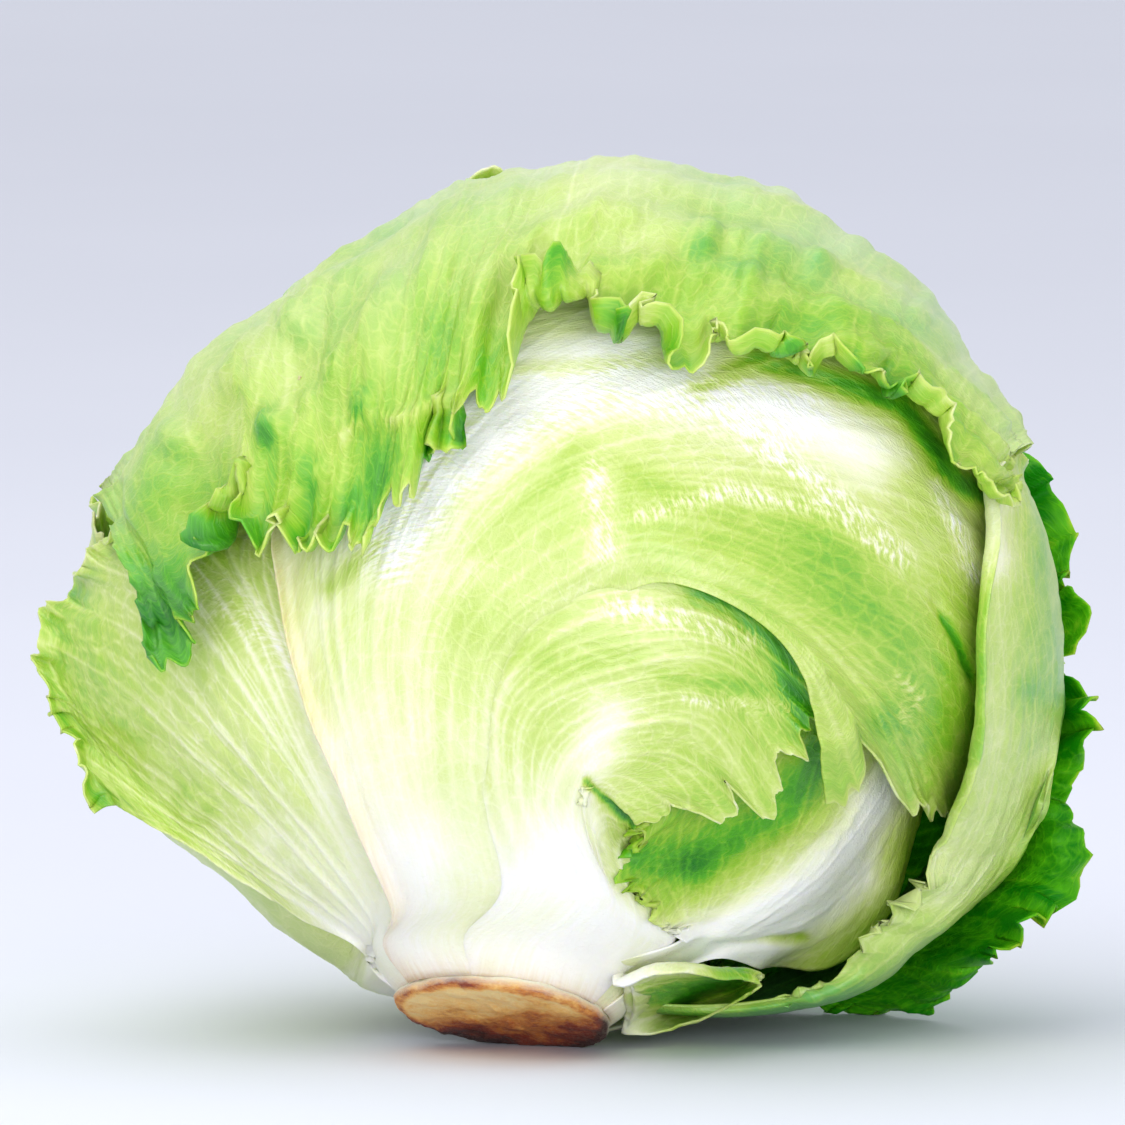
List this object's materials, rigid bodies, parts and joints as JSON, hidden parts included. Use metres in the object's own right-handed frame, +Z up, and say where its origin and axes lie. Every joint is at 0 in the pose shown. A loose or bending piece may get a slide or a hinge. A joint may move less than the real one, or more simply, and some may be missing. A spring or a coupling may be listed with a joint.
{
  "type": "iceberg lettuce",
  "caption": "Whole iceberg lettuce as picked, lying on its side: dense round heart on a cut stem, wrapped in loose leaves with ruffled, toothed margins.",
  "frame": {"origin": "centre of the head's footprint box, on the surface that it lies on", "axes": "+X to the viewer's right, +Y away from the cut stem and the viewer, +Z up"},
  "size_m": [0.1867, 0.1559, 0.1551],
  "materials": {
    "stem": "cut lettuce stem, browned and moist",
    "heart": "pale inner leaf, waxy",
    "leaf_front": "white leaf base, waxy with a soft gloss",
    "leaf_fold": "pale green leaf, waxy with a soft gloss",
    "leaf_hollow": "green leaf, waxy",
    "leaf_left": "pale green leaf with white veins, waxy",
    "leaf_right": "pale green leaf, waxy",
    "leaf_remnant": "torn dark green leaf stub",
    "wrapper_top": "green outer leaf with blisters, waxy",
    "wrapper_right": "dark green outer leaf",
    "wrapper_left": "green outer leaf",
    "wrapper_back": "green outer leaf"
  },
  "bodies": {
    "root": {"stem": "stem", "heart": "heart", "leaf_front": "leaf_front", "leaf_fold": "leaf_fold", "leaf_hollow": "leaf_hollow", "leaf_left": "leaf_left", "leaf_right": "leaf_right", "leaf_remnant": "leaf_remnant", "wrapper_top": "wrapper_top", "wrapper_right": "wrapper_right", "wrapper_left": "wrapper_left", "wrapper_back": "wrapper_back"}
  },
  "joints": []
}
